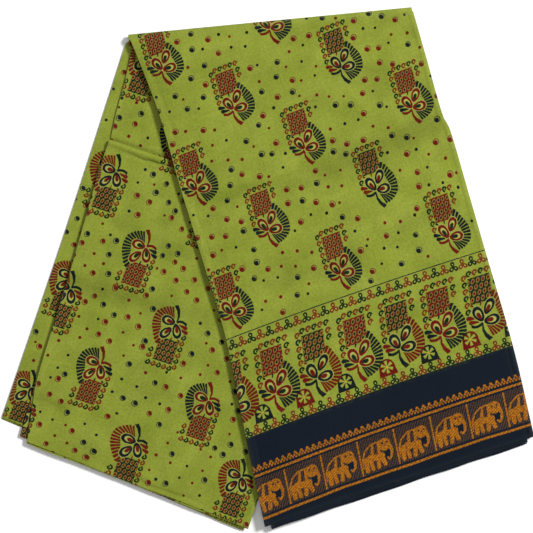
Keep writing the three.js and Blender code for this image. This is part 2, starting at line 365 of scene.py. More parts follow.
def least(*values):
    return values[0] if len(values) == 1 else number("MINIMUM", values[0], least(*values[1:]))


def most(*values):
    return values[0] if len(values) == 1 else number("MAXIMUM", values[0], most(*values[1:]))


def size_of(value):
    return number("ABSOLUTE", value)


def between(low, value, high):
    return number("MINIMUM", number("MAXIMUM", value, low), high)


def choose(share, a, b):
    return a + share * (b - a)


def flat_place(x, y):
    node = x.tree.nodes.new("ShaderNodeCombineXYZ")
    x.tree.links.new(x.socket, node.inputs[0])
    x.tree.links.new(y.socket, node.inputs[1])
    return Reading(x.tree, node.outputs[0])


def parts_of(place):
    node = place.tree.nodes.new("ShaderNodeSeparateXYZ")
    place.tree.links.new(place.socket, node.inputs[0])
    return Reading(place.tree, node.outputs[0]), Reading(place.tree, node.outputs[1])


def vector(operation, *values):
    output = 1 if operation in ("DOT_PRODUCT", "DISTANCE", "LENGTH") else 0
    return node_from("ShaderNodeVectorMath", operation, values, output)


def dot(place, x, y):
    return vector("DOT_PRODUCT", place, (x, y, 0))


def distance(x, y):
    return vector("LENGTH", flat_place(x, y))


def round_spot(place, x, y, radius):
    return vector("DISTANCE", place, (x, y, 0)) - radius


def stroke(place, start, end):
    """A round-ended stroke between two stops, each given as x, y and radius."""
    ax, ay, start_radius = start
    dx, dy, end_radius = end[0] - ax, end[1] - ay, end[2]
    square = dx * dx + dy * dy
    share = number("SUBTRACT", dot(place, dx / square, dy / square),
                   (ax * dx + ay * dy) / square, clamp=True)
    nearest = vector("MULTIPLY_ADD", share, (dx, dy, 0), (ax, ay, 0))
    return vector("DISTANCE", place, nearest) - (share * (end_radius - start_radius) + start_radius)


def line_through(place, *stops):
    return least(*(stroke(place, a, b) for a, b in zip(stops, stops[1:])))


def egg(place, base, tip, width):
    """A petal from its base to its rounder tip."""
    length = math.dist(base, tip)
    along = ((tip[0] - base[0]) / length, (tip[1] - base[1]) / length)
    from_middle = vector("SUBTRACT", place, ((base[0] + tip[0]) / 2, (base[1] + tip[1]) / 2, 0))
    s = dot(from_middle, *along)
    n = dot(from_middle, along[1], -along[0]) / (s * (0.36 / length) + 1)
    return (distance(n * (2 / width), s * (2 / length)) - 1) * (width / 2)


def box(x, y, left, right, low, high):
    return most(size_of(x - (left + right) / 2) - (right - left) / 2,
                size_of(y - (low + high) / 2) - (high - low) / 2)


def ink(shape, soft=0.45):
    """How much ink a shape leaves: full inside its outline and none outside, over a soft edge."""
    return number("MULTIPLY_ADD", shape, -1 / soft, 0.5, clamp=True)


def over(base, share, colour):
    """One colour laid over another by a share."""
    node = share.tree.nodes.new("ShaderNodeMix")
    node.data_type = "RGBA"
    share.tree.links.new(share.socket, node.inputs[0])
    for socket, value in ((node.inputs[6], base), (node.inputs[7], colour)):
        if isinstance(value, Reading):
            share.tree.links.new(value.socket, socket)
        else:
            socket.default_value = (*value, 1)
    return Reading(share.tree, node.outputs[2])


def mottle(place, scale, detail=2, output=0):
    """Soft random patches at so many to the millimetre."""
    node = place.tree.nodes.new("ShaderNodeTexNoise")
    node.noise_dimensions = "2D"
    place.tree.links.new(place.socket, node.inputs["Vector"])
    give(node, {"Scale": scale, "Detail": detail})
    return Reading(place.tree, node.outputs[output])


def streaks(place, scale, detail):
    """Random streaks along the threads, at so many to the millimetre across and down the cloth."""
    return mottle(vector("MULTIPLY", place, (*scale, 0)), 1, detail)


GREEN, PALE_GREEN = (0.203, 0.249, 0.024), (0.247, 0.288, 0.036)
NAVY, NAVY_INK, DARK_GREEN = (0.004, 0.008, 0.015), (0.002, 0.006, 0.008), (0.002, 0.014, 0.004)
MAROON, BRICK, TAN = (0.112, 0.004, 0.002), (0.140, 0.021, 0.004), (0.24, 0.15, 0.032)
LIGHT, YELLOW = (0.33, 0.345, 0.074), (0.42, 0.28, 0.03)
THREAD = 0.55  # from one thread's middle to the next

COLUMN, ROW = 68.75, 150.2  # the field's motifs, one to each, every other column half a row lower
FIRST_COLUMN, FIRST_ROW = 28.6, 54.6
CELL_LEFT, CELL_ABOVE = 28, 84  # how far a motif's own cell reaches from where its petals meet
MOTIF_SIZE, BACK_MOTIF_SIZE = 1.04, 1.09
THIRD_COLUMN = 3  # this column's motifs have the second colours but navy rays
LINE_AT = 381.8  # the thin line where the field ends
NAVY_AT = 501  # where the woven border begins
BORDER_COLUMN, BORDER_START, BORDER_CELL_LEFT, BORDER_FLOWER = 52.7, 30.3, 22, 462.5
BORDER_WIDER, BORDER_TALLER, BORDER_LEAN = 1.22, 1.2, 0.146
DOME_START, DOME_AT, DOME_RADIUS, DOME_FOOT = 30.3, 478.8, 9.8, 10.6
TREFOIL_ROWS = (389.8, 495.4)
FIELD_ENDS, BETWEEN_ROWS = 395, 440  # above the printed border's flowers, and between its trefoil rows


def field_cell(x, y):
    """A place's own coordinates from where its motif's petals meet, to the right and up, with its
    column, whether that is odd, and how far down the cloth the petals meet."""
    left = FIRST_COLUMN - CELL_LEFT
    column = number("FLOOR", (x - left) / COLUMN)
    right = (x - left) % COLUMN - CELL_LEFT
    odd = column % 2
    down = (y - (FIRST_ROW - CELL_ABOVE) - odd * (ROW / 2)) % ROW - CELL_ABOVE
    return right, -down, column, odd, y - down


HUB = (0, 1.5, 0)  # where the rays of a motif's fan meet
RAYS, FIRST_RAY, RAY_PITCH = 15, math.radians(65.5), math.radians(9.1)


def ray_fan(p):
    """The fan of rays behind the petals, each widening outwards. The lowest are the longest."""
    from_hub = vector("SUBTRACT", p, HUB)
    hx, hy = parts_of(from_hub)
    reach = vector("LENGTH", from_hub)
    turn = (FIRST_RAY - number("ARCTAN2", hy, hx)) / RAY_PITCH
    index = between(0, number("FLOOR", turn), RAYS - 1)
    sideways = size_of(turn - index - 0.5) * reach * RAY_PITCH
    outer = 25.4 + most(2.5 - index, 0) * 1.4 - most(index - 9, 0) * 1.1
    inner = 15.5 + most(3.5 - index, 0) * 1.8 - most(index - 10, 0) * 3
    return most(sideways - reach * 0.053 - 0.18, reach - outer, inner - reach)


# Each row of scrolls: its place, first scroll, pitch and last number, and whether it stands upright.
CURL_ROWS = [(49, -9, 6.2, 4, False), (-14.4, 46, -6.75, 5, True), (16.8, 41.2, -6.5, 1, True)]


def curls(x, y, second):
    """The scrolls round the lattice: a row over it and a column at each side. Gives their outline and
    whether each is red."""
    lines = []
    for fixed, first, pitch, last, upright in CURL_ROWS:
        along, off = (y, x - fixed) if upright else (x, y - fixed)
        index = between(0, number("ROUND", (along - first) / pitch), last)
        step = along - (index * pitch + first)
        cx, cy = (off, step) if upright else (step, off)
        ring = size_of(distance(cx, cy) - 2.15) - 0.95
        mouth = most(0.4 - cx, cy - 0.1)  # less than nothing in the lower right quarter
        hook = distance(cx - 0.9, cy + 0.3) - 0.95
        lines.append((least(most(ring, -mouth), hook), index % 2))
    (top, a), (left, b), (right, c) = lines
    sides = least(left, right)
    red = choose(sides < top, 1 - a, choose(right < left, b, c))
    return least(top, sides), size_of(red - second)


def lattice(x, y):
    """The checked body above the petals: its outline, and the distance from the middle of each of its
    staggered slanted cells."""
    body = most(box(x, y, -11, 11.6, 18.6, 44.6), x - y * 0.75 + 7.5)
    wide, tall, left, low = 5.3, 6, -11.3, 19.7
    row = number("FLOOR", (y - low) / tall)
    cy = (y - low) % tall - tall / 2
    cx = (x + (row % 2) * (wide / 2) - left) % wide - wide / 2
    cell = distance(cx - cy * 0.2, cy * 0.74)
    return body, cell


def motif(p, x):
    """The traditional fan-tailed flower's other shapes: three petals, their middles, the stem, the
    drops, the small stroke under them and the sprigs above."""
    petals = least(egg(p, (-0.8, 0.2), (-8.2, 15.2), 9.8), egg(p, (2.4, 6), (11.2, 19), 9.6),
                   egg(p, (0.2, -0.4), (15.8, -1.6), 10.2))
    middles = least(egg(p, (-2.4, 2.6), (-6, 9.6), 3.8), egg(p, (3.8, 7.8), (7.8, 14), 3.8),
                    egg(p, (2.8, -0.4), (10, -0.9), 4.2))
    stem = line_through(p, (-1.6, -1.6, 0.6), (-1.8, -8.6, 1.2), (0.6, -14.6, 1.8), (4.6, -19.4, 2.2))
    stem = most(stem, dot(p, 0.45, -0.89) - 19.6)
    drops = least(line_through(p, (-15.3, 6.4, 2.2), (-8.8, 4.8, 0.9)),
                  line_through(p, (-13.2, 1.7, 2.2), (-5.6, 0.4, 0.8)))
    small = most(size_of(round_spot(p, -7.4, 5.6, 9.4)) - 1.4, size_of(x + 7.4) - 6)
    small = most(small, dot(p, 0, 1))
    sprigs = least(line_through(p, (-1.6, 15.8, 0.5), (-1, 18.4, 0.9)),
                   line_through(p, (-10.6, 17.8, 1.1), (-9, 16.6, 0.7)))
    return petals, middles, stem, drops, small, sprigs


def printed_motif(base, p, x, y, second, third, shown):
    """The motif in its two colourways. The second swaps red for navy, and the third has navy rays."""
    first, other = over(MAROON, second, NAVY_INK), over(NAVY_INK, second, MAROON)
    base = over(base, ink(ray_fan(p)) * shown, over(NAVY_INK, second * (1 - third), MAROON))
    body, cell = lattice(x, y)
    in_body = ink(body) * shown
    base = over(base, in_body, over(MAROON, second, DARK_GREEN))
    base = over(base, in_body * ink(cell - 1.9), TAN)
    base = over(base, in_body * ink(cell - 1.2), over(DARK_GREEN, second, MAROON))
    scroll, red = curls(x, y, second)
    base = over(base, ink(scroll) * shown, over(DARK_GREEN, red, BRICK))
    petals, middles, stem, drops, small, sprigs = motif(p, x)
    base = over(base, ink(least(drops, sprigs)) * shown, other)
    base = over(base, ink(least(stem, small)) * shown, first)
    base = over(base, ink(petals - 0.6) * shown, LIGHT)
    base = over(base, ink(size_of(petals + 1.0) - 1.1) * shown, first)
    return over(base, ink(middles) * shown, over(DARK_GREEN, second, MAROON))


DOT_PITCH, DOT_TURN, DOT_SCATTER = 17.8, math.radians(19), 0.62
SMALL_DOTS = 0.48  # this share of the dots is small
FAN_CLEAR = 31  # no dot lies so near the hub of a fan


def scattered_dots(base, place, field):
    """Loose round dots between the motifs, each large one with a light crescent at its side."""
    c, s = math.cos(DOT_TURN) / DOT_PITCH, math.sin(DOT_TURN) / DOT_PITCH
    grid = flat_place(dot(place, c, s), dot(place, -s, c))
    cells = grid.tree.nodes.new("ShaderNodeTexVoronoi")
    cells.voronoi_dimensions = "2D"
    give(cells, {"Scale": 1, "Randomness": DOT_SCATTER})
    grid.tree.links.new(grid.socket, cells.inputs["Vector"])
    centre = Reading(grid.tree, cells.outputs["Position"])
    size, shade = parts_of(Reading(grid.tree, cells.outputs["Color"]))
    large = size > SMALL_DOTS
    radius = 1.65 + most(size - 0.1, 0) * 1.2 + large * 1.2
    c, s = c * DOT_PITCH**2, s * DOT_PITCH**2
    middle_x, middle_y = dot(centre, c, -s), dot(centre, s, c)
    x, y, _, _, flower = field_cell(middle_x, middle_y)
    near_fan = most(vector("LENGTH", vector("SUBTRACT", flat_place(x, y), HUB)) - FAN_CLEAR, -21 - x)
    clear = most(least(box(x, y, -23, 23, 5, 57), near_fan), flower - LINE_AT) > 0
    allowed = clear * (middle_y < LINE_AT - 7) * field
    away = vector("SUBTRACT", place, flat_place(middle_x, middle_y))
    disc = vector("LENGTH", away) - radius
    base = over(base, ink(disc) * allowed, over(NAVY_INK, shade > 0.46, MAROON))
    core = vector("LENGTH", vector("ADD", away, (0.8, -0.8, 0))) - 2.75
    return over(base, ink(most(disc + 0.8, -core)) * allowed * large * 0.65, LIGHT)


def trefoils(base, x, above, turned):
    """A row of small outlined trefoils, in green and brick by turns."""
    pitch, start = 11.65, -0.8
    along = (x + start) % pitch - pitch / 2
    p = flat_place(size_of(along), above)
    leaves = least(egg(p, (0, -0.2), (0, 6.2), 5.2), egg(p, (0.1, -0.1), (5.0, -4.8), 5.2))
    brick = (number("FLOOR", (x + start) / pitch) + turned) % 2
    base = over(base, ink(leaves) * (size_of(above) < 6.4), over(DARK_GREEN, brick, BRICK))
    return over(base, ink(leaves + 1.75) * 0.9, LIGHT)


def border_prints(base, x, y):
    """What is printed between the field and the woven border, apart from the motifs: a row of domes,
    each with a light flower, a thin line, and two rows of small trefoils."""
    shift = BORDER_COLUMN / 2 - DOME_START
    index = number("FLOOR", (x + shift) / BORDER_COLUMN)
    along, up = (x + shift) % BORDER_COLUMN - BORDER_COLUMN / 2, DOME_AT - y
    arch = distance(along, most(up, 0)) - most(-up, 0) * 0.16 - DOME_RADIUS
    base = over(base, ink(most(arch, -DOME_FOOT - up)), over(NAVY_INK, index % 2, MAROON))
    reach = distance(along, up)
    sixth = math.radians(60)
    sideways = size_of((number("ARCTAN2", up, along) / sixth) % 1 - 0.5) * reach * sixth
    base = over(base, ink(most(sideways - reach * 0.23 - 0.3, reach - 7.6)), PALE_GREEN)
    base = over(base, ink(reach - 1.4), YELLOW)
    base = over(base, ink(size_of(y - LINE_AT) - 0.6), NAVY)
    first_row = y < BETWEEN_ROWS
    base = trefoils(base, x, choose(first_row, TREFOIL_ROWS[1], TREFOIL_ROWS[0]) - y, first_row)
    return over(base, ink(NAVY_AT - y), NAVY)


def cloth_finish():
    """The group that gives any of this cloth its threads: slubs and soft patches in its colour, paler
    folds where it is worn, creases darkened by painted shade, and the raised crossings of its plain weave."""
    group = bpy.data.node_groups.new("cloth finish", "ShaderNodeTree")
    sockets = (("INPUT", "Color", "Color"), ("INPUT", "Place", "Vector"), ("INPUT", "Wear_and_shade", "Float"),
               ("OUTPUT", "Color", "Color"), ("OUTPUT", "Roughness", "Float"), ("OUTPUT", "Height", "Float"))
    for way, name, kind in sockets:
        group.interface.new_socket(name=name, in_out=way, socket_type="NodeSocket" + kind)
    given, put_out = group.nodes.new("NodeGroupInput"), group.nodes.new("NodeGroupOutput")
    colour, place, worn = (Reading(group, given.outputs[name]) for name in ("Color", "Place", "Wear_and_shade"))
    x, y = parts_of(place)
    warp, weft = (streaks(place, scale, 1) for scale in ((1.6, 0.035), (0.035, 1.6)))
    slubs = streaks(place, (0.4, 0.05), 2) + streaks(place, (0.05, 0.4), 2)
    patch, uneven_dye = mottle(place, 0.035, 3), mottle(place, 0.42, 3)
    shade = 0.26 + (warp + weft) * 0.1 + patch * 0.32 + slubs * 0.12 + uneven_dye * 0.5
    # A wear reading below nothing is painted shade, darkening the colour by up to a fifth.
    shaded = vector("MULTIPLY", colour, shade * (between(-1, worn, 0) * 0.2 + 1))
    faded = vector("MULTIPLY_ADD", shaded, (1.08, 1.08, 1.1), (0.020, 0.020, 0.017))
    share = most(worn, 0) * (0.1 + mottle(place, 0.4, 1) * 0.7)
    crossing = number("SINE", x * (math.pi / THREAD)) * number("SINE", y * (math.pi / THREAD))
    results = (("Color", over(shaded, share, faded)), ("Roughness", 0.78 + patch * 0.12 + share * 0.06),
               ("Height", crossing * 0.5 + warp + weft))
    for name, value in results:
        group.links.new(value.socket, put_out.inputs[name])
    return group


CLOTH_FINISH = cloth_finish()


def woven_cloth(name, drawn):
    """A matte cotton cloth. drawn(place) gives its colour, and the finish its threads."""
    material = bpy.data.materials.new(name)
    material.use_nodes = True
    tree = material.node_tree
    cloth_map = tree.nodes.new("ShaderNodeUVMap")
    cloth_map.uv_map = "cloth"
    place = vector("MULTIPLY", Reading(tree, cloth_map.outputs["UV"]), (1000, 1000, 0))
    worn = tree.nodes.new("ShaderNodeAttribute")
    worn.attribute_name = "worn"
    finish = tree.nodes.new("ShaderNodeGroup")
    finish.node_tree = CLOTH_FINISH
    bump = tree.nodes.new("ShaderNodeBump")
    give(bump, {"Strength": 0.35, "Distance": 0.00006})
    shader = tree.nodes["Principled BSDF"]
    give(shader, {"Specular IOR Level": 0.1, "Sheen Weight": 0.03, "Sheen Roughness": 0.4})
    links = ((drawn(place).socket, finish, "Color"), (place.socket, finish, "Place"),
             (worn.outputs["Fac"], finish, "Wear_and_shade"), (finish.outputs["Height"], bump, "Height"),
             (finish.outputs["Color"], shader, "Base Color"),
             (finish.outputs["Roughness"], shader, "Roughness"), (bump.outputs["Normal"], shader, "Normal"))
    for source, node, name in links:
        tree.links.new(source, node.inputs[name])
    return material


def printed(place):
    """The printed field and, towards the front leg's hem, the printed border rows."""
    rough = vector("MULTIPLY_ADD", mottle(place, 0.42, 1, output=1), (0.8, 0.8, 0), (-0.4, -0.4, 0))
    x, y = parts_of(vector("ADD", place, rough))
    ground = over(GREEN, between(0, (mottle(place, 0.03, 4) - 0.5) * 2.4 + 0.5, 1), PALE_GREEN)
    right, up, column, odd, flower = field_cell(x, y)
    third = size_of(column - THIRD_COLUMN) < 0.5
    field_second = choose(column > -0.5, odd, third)
    low = y > FIELD_ENDS
    height = BORDER_FLOWER - y
    from_left = x - height * BORDER_LEAN - BORDER_START
    across = from_left % BORDER_COLUMN - BORDER_CELL_LEFT
    border_second = number("FLOOR", from_left / BORDER_COLUMN) % 2
    size = choose(flower < 0, MOTIF_SIZE, BACK_MOTIF_SIZE)
    mx = choose(low, right / size, across / BORDER_WIDER)
    my = choose(low, up / size, height / BORDER_TALLER)
    shown = most(low, (flower < LINE_AT) * (y < LINE_AT))
    second = choose(low, field_second, border_second)
    base = scattered_dots(ground, place, y < LINE_AT)
    base = border_prints(base, x, y)
    base = printed_motif(base, flat_place(mx, my), mx, my, second, third * (1 - low), shown)
    return over(ground, 0.93 + mottle(place, 0.12, 3) * 0.12, base)


printed_cotton = woven_cloth("printed cotton", printed)

LOWER_ROWS = [((240, 2), (185, 313)), ((485, 0), (509, 314))]


def back_hem(flat):
    return BACK_HEM - flat @ BACK[1]


def cross_fold(flat):
    return flat @ INTO_LEGS - FOLD_RADIUS


back_wear = worn_near((back_hem, 0.5), (cross_fold, 0.6))
lower = Cloth(BACK, back_print(-4, 5.5, 1.065, 0.036))
two_tubes(lower, edge_lines(BACK, LOWER_ROWS, fold_line()), np.linspace(0.04, 1, 80),
          leaf_height(flat_level(0.01), flat_level(LEAF)), back_wear, (16, 16, 16), uneven(1, 1.5),
          plain_hem(1), (0, 0), [90])
lower.piece("lower_leaf", printed_cotton, "printed_cotton", "back_lower", (6 * 318, 560), [])

# ---- The back leg's middle leaf ----
# The same bundle of cotton plies, lying on the lowest leaf. It shows at the left, where it turns
# into the front leg at the cross fold.
MIDDLE_ROWS = [
    ((45.5, 12.5), (-80, 311)), ((95, 15.5), (0, 312)), ((150, 20), (80, 313)),
    ((320, 23), (290, 315)), ((498, 27.5), (BACK_HEM, 318)),
]
UNDER_INSET = (7, 9)


def folded_top(flat):
    """How far down from the flap's folded edge a place lies."""
    return flat @ BACK[1] - FLAP_TOP


def middle_top(flat, from_side):
    """The leaf's top: pressed at the flap's folded edge, and loose between there and the cross fold."""
    across, down = flat @ BACK[0], flat @ BACK[1]
    slack = smooth(20, 60, down) * (1 - smooth(95, FLAP_TOP - 3, down)) * smooth(2, 25, from_side)
    pucker = wander(down + 0.3 * across, (0.18, 31, 0.2), (0.1, 17, 0.6))
    return PITCH + LEAF + slack * (0.25 + pucker) - 1.2 * bell(folded_top(flat) + 0.5, 2.4)


def middle_wear_and_shade(flat, from_side):
    """Worn like the lowest leaf, with painted shade close above the flap's folded edge."""
    # The flap's edge shades the cloth just above it, and that shade is painted in.
    return back_wear(flat, from_side) - 1.3 * bell(folded_top(flat) + 0.5, 2.6)


middle = Cloth(BACK, back_print(2, 5))
middle_steps = sections((0.03, 0.52, 50), (0.53, 0.63, 24), (0.64, 1, 42))
two_tubes(middle, edge_lines(BACK, MIDDLE_ROWS, fold_line(UNDER_INSET)), middle_steps,
          leaf_height(flat_level(PITCH), middle_top), middle_wear_and_shade, (16, 5, 12), uneven(2, 1.8),
          plain_hem(2), UNDER_INSET, [90])
middle.piece("middle_leaf", printed_cotton, "printed_cotton", "back_middle", (6 * 298, 590),
             ["lower_leaf"])

# ---- The back leg's flap ----
# The top leaf of the back leg. Its four plies turn over on themselves in a rolled edge below the
# cross fold, and old creases run across it.
FLAP_ROWS = [
    ((FLAP_TOP, 18), (FLAP_TOP + 2, 316)), ((170, 18), (180, 317)), ((295, 23), (300, 319)),
    ((420, 25.5), (425, 321)), ((463, 31.5), (475, 323)), ((503, 38), (517.5, 323)),
]
FLAP_LEVEL = 2 * PITCH
DEEPEST = 1.4  # a crease stays within its own leaf
SHADE_WIDER, CREASE_SHADE = 1.7, 0.8  # the painted shade in a crease's valley: wider than its trough, and this strong


def crease(across, down, start, end, half_width, depth):
    """An old fold line from start to end, as a soft trough that fades in and out along its length."""
    a, line = np.array(start, float), np.array(end, float) - np.array(start, float)
    length = np.linalg.norm(line)
    share = ((across - a[0]) * line[0] + (down - a[1]) * line[1]) / length**2
    bend = wander(share * length, (1.3, 83, 0.1), (0.7, 37, 0.6))
    off = ((across - a[0]) * line[1] - (down - a[1]) * line[0]) / length - bend
    fade = smooth(-0.25, 0.1, share) * (1 - smooth(0.6, 1.1, share))
    return -depth * fade * bell(off, half_width)


def relief_of(creases, across, down):
    return np.maximum(sum(crease(across, down, *one) for one in creases), -DEEPEST)


def with_crease_shade(wear, leg, creases):
    """The same wear, and less than nothing along the old creases, where shade is painted into their valleys.
    """
    def at(flat, from_side):
        across, down = flat @ leg[0], flat @ leg[1]
        # Painted shade along each crease's valley.
        valley_shade = sum(np.minimum(crease(across, down, start, end, SHADE_WIDER * half_width, depth), 0)
                      for start, end, half_width, depth in creases)
        return wear(flat, from_side) + np.maximum(CREASE_SHADE * valley_shade, -1)
    return at


def air_under(height, across, down, width, length, margin=48, at_hem=0.35):
    """How far trapped air lifts a leg's top. Its side edges and its upper end stay pressed."""
    sides = smooth(0, margin, across) * smooth(0, margin, width - across)
    hem = at_hem + (1 - at_hem) * smooth(0, margin, length - down)
    return height * sides * smooth(0, margin, down) * hem


def back_air(flat):
    return air_under(0.9, flat @ BACK[0], flat @ BACK[1] - FLAP_TOP, BACK_EDGE, BACK_HEM - FLAP_TOP)


# Each crease: where it starts and ends, across and down the leg, its half width and its depth. One
# of less than no depth is a ridge.
BACK_CREASES = [
    ((10, 306), (190, 298), 6.5, 1.44), ((20, 452), (85, 449), 4.5, 0.96), ((150, 231), (60, 222), 5, 0.72),
    ((290, 395), (120, 402), 5, 0.72), ((60, 360), (150, 372), 8, -0.6), ((210, 250), (250, 330), 7, -0.6),
    ((150, 502.5), (265, 508), 2.0, 0.84), ((130, 498), (240, 503), 2.4, 0.48),
]


def below_roll(flat):
    """How far below the line under the flap's rolled top a place lies. There the cloth dips, and shade is
    painted in.
    """
    return folded_top(flat) - 8.5 - wander(flat @ BACK[0], (0.8, 61, 0.2), (0.4, 23, 0.5))


def flap_top(flat, from_side):
    """The leaf's top: a roll at the folded edge, a valley behind it, and rolled side edges. They fade out
    under the front leg."""
    across, down = flat @ BACK[0], flat @ BACK[1]
    relief = relief_of(BACK_CREASES, across, down)
    roll = bell(folded_top(flat) - 4, 3.4)
    behind = bell(below_roll(flat) - 1, 1.5) * (1 + wander(across, (0.15, 37, 0.1))) * smooth(28, 70, across)
    side_roll = bell(from_side - 3.5, 2.4)
    rolls = (1.7 * roll - 1.7 * behind + 0.4 * side_roll) * (1 - smooth(-15, 15, flat @ FRONT[0]))
    slack = wander(down - 0.2 * across, (0.2, 87, 0.15), (0.1, 41, 0.4)) * smooth(0, 30, from_side)
    return FLAP_LEVEL + LEAF + back_air(flat) + relief + rolls + slack


def flap_underside(flat):
    return FLAP_LEVEL + 0.6 * back_air(flat)


def turned_back(cloth, lines, shares, direction, place, worn, steps, ragged, hem):
    """A leaf whose one tube of plies comes up from the hem, turns over and goes back down on itself."""
    arcs = np.radians(np.arange(-75, 80, 15))
    path = np.concatenate([shares[::-1], np.zeros(len(arcs)), shares])
    level = np.concatenate([np.zeros(len(shares)), np.full(len(arcs), 0.5), np.ones(len(shares))])
    turn = np.concatenate([np.full(len(shares), -math.pi / 2), arcs, np.full(len(shares), math.pi / 2)])
    left, right = lines[0](path), lines[1](path)
    along = (right - left) / np.linalg.norm(right - left, axis=1)[:, None]
    down = left @ cloth.leg[1]
    settled = smooth(2, 40, down - down.min())
    for line, side, inward in ((left, 0, 1), (right, 1, -1)):
        drawn_in = ragged(down, 0, side) * (1 - level) * settled
        line += inward * along * drawn_in[:, None]
    end = smooth(HEM_FROM, 1, path)[:, None, None] * cloth.leg[1]
    top = down.min()

    def lie(flat, height, from_side):
        reach = LEAF / 4 + height
        longer = hem(flat @ cloth.leg[0], np.round(level)[:, None], height)
        moved = flat + end * longer[..., None] - direction * (reach * np.cos(turn)[:, None])[..., None]
        return place(moved, LEAF / 2 + reach * np.sin(turn)[:, None], from_side)

    def unrolled(flat):
        below = (turn < 0)[:, None, None]
        back = 2 * (top - flat @ cloth.leg[1])[..., None] * cloth.leg[1]
        return np.where(below, flat + back, flat)

    ring = lobe_ring(STRIP_WIDTH, steps[0], steps[1])
    cloth.add(left, right, ring, lie, unrolled, worn, closed=True)


def flap_wear_and_shade(flat, from_side):
    """Worn at its hem and sides, with painted shade in its creases and along the two lines of its rolled top.
    """
    wear = with_crease_shade(worn_near((back_hem, 0.5)), BACK, BACK_CREASES)(flat, from_side)
    # rolled: painted shade along the line under the roll and along the folded edge itself.
    rolled = bell(below_roll(flat), 2.2) + 0.7 * bell(folded_top(flat), 1.4)
    return wear - 0.9 * rolled * smooth(20, 60, flat @ BACK[0])


flap = Cloth(BACK, back_print(-0.5, 0.5, 1, 0.054))
top_ends = [BACK[1] * (down + LEAF / 2) + BACK[0] * across for down, across in FLAP_ROWS[0]]
flap_steps = sections((0, 0.055, 26), (0.06, 0.945, 90), (0.95, 1, 14))
turned_back(flap, edge_lines(BACK, FLAP_ROWS[1:], top_ends), flap_steps, BACK[1],
            leaf_height(flap_underside, flap_top), flap_wear_and_shade, (3, 12), uneven(3, 1.2), plain_hem(3))
flap.piece("flap_leaf", printed_cotton, "printed_cotton", "back_flap", (4 * 303, 392), ["middle_leaf"])

# ---- The front leg's hidden core ----
# The plies inside the front leg, turned back on themselves at the cross fold. Only their side folds
# and a thin line at the hem can be seen.
FRONT_HEM, HEM_RISE = 611.5, 14 / 340
FRONT_ROWS = [
    ((95, 9), (125, 336)), ((190, 9.5), (193, 336)), ((222, 10), (220, 340)), ((305, 11.5), (296, 340.5)),
    ((385, 12), (368, 340.5)), ((506, 2.5), (488, 341)), ((FRONT_HEM, -5), (597.5, 335.5)),
]
BORDER_SHARE = 6 / 7  # of the rows, counted from the cross fold, lie above the woven border
WEFT_SLANT = 0.0513  # the weft runs a little uphill to the right on the front leg
FOLD_SLANT, WEFT_BOW = 0.035, 3.8  # more so at the cross fold, and bowed towards the border
BRIDGE = (12, 117)  # how far past the back leg's edge the front leg starts and ends coming down
CLIMB = (92, 12)  # how far above the flap's folded edge it starts and ends rising onto the flap


def bed(flat):
    """The height of what the front leg lies on: the back leg, and the air it bridges beside it."""
    across, down = flat @ BACK[0], flat @ BACK[1]
    beside = 1 - smooth(BACK_EDGE + BRIDGE[0], BACK_EDGE + BRIDGE[1], across)
    over_flap = smooth(FLAP_TOP - CLIMB[0], FLAP_TOP - CLIMB[1], down)
    return beside * (2 * PITCH + over_flap * (PITCH + back_air(flat)))


def front_air(flat):
    across, down = flat @ FRONT[0], flat @ FRONT[1]
    slant = FOLD_RISE * across / STRIP_WIDTH
    return air_under(1.5, across, down - slant, STRIP_WIDTH, FRONT_HEM - slant)


def front_print(across, down):
    inside = np.clip(across, 0, STRIP_WIDTH)
    plain = down + WEFT_SLANT * inside
    low, bow_at = smooth(230, 370, plain), 195
    bowed = FOLD_SLANT * inside * (1 - low) - WEFT_BOW * (inside / bow_at - 1) ** 2 * low
    return np.stack([across, plain + bowed], axis=-1)


def front_hem(flat):
    return FRONT_HEM - flat @ FRONT[1] - HEM_RISE * (flat @ FRONT[0])


def front_under(level):
    return lambda flat: bed(flat) + level * PITCH + front_air(flat) * level / 3


def plain_front_top(level):
    return lambda flat, from_side: front_under(level)(flat) + LEAF + front_air(flat) / 3


CORE_INSET = (4, 5)
LEG_START = 0.0214  # the share of the way down the edge lines where the turn at the cross fold ends
front_wear = worn_near((front_hem, 0.5), (cross_fold, 0.6))


def past_the_turn(line):
    return lambda share: line(LEG_START + share * (1 - LEG_START))


core = Cloth(FRONT, front_print)
core_lines = edge_lines(FRONT, FRONT_ROWS, fold_line(CORE_INSET), CORE_INSET, -3)
turned_back(core, [past_the_turn(line) for line in core_lines], np.linspace(0, 1, 90), INTO_LEGS,
            leaf_height(front_under(0), plain_front_top(0)), front_wear, (16, 16), uneven(4, 1.5),
            plain_hem(4))
core.piece("core_leaf", printed_cotton, "printed_cotton", "front_core", (4 * 327, 585), ["flap_leaf"])

# ---- The front leg's under leaf ----
# The second leaf from the top, which turns over at the cross fold. Its navy border is woven in one
# with it, and its hem shows below the top leaf's.
CHAIN_AT, CHAIN_PITCH, CHAIN_ROW = 537, 7.75, 2.3  # its first row, its peaks' pitch and its rows' pitch
WEAVE_LINES = (547.2, 598.2)
WEAVE_BOX, WEAVE_PITCH, WEAVE_FIRST = (551.2, 593.6), 46.3, 31.6
WEAVE_BROWN = (0.075, 0.039, 0.021)


